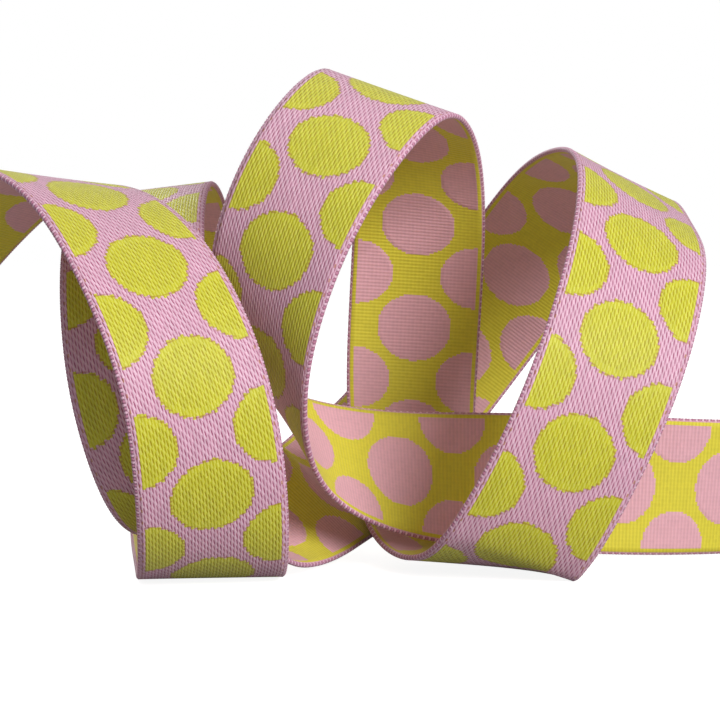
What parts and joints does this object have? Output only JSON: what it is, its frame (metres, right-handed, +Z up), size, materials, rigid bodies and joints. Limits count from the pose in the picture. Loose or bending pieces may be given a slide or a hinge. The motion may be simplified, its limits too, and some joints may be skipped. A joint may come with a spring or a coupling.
{
  "type": "curled length of woven webbing",
  "caption": "Narrow double-faced woven webbing with dots, one continuous length curled into standing loops with a loose tail.",
  "frame": {"origin": "middle of the bounding box, on the table", "axes": "+X to the right in the picture, +Y away from the viewer, +Z up"},
  "size_m": [0.1752, 0.0966, 0.077],
  "materials": {
    "webbing": "woven, pink ground with lime dots outside, lime ground with pink dots inside"
  },
  "bodies": {
    "root": {"webbing": "webbing"}
  },
  "joints": []
}
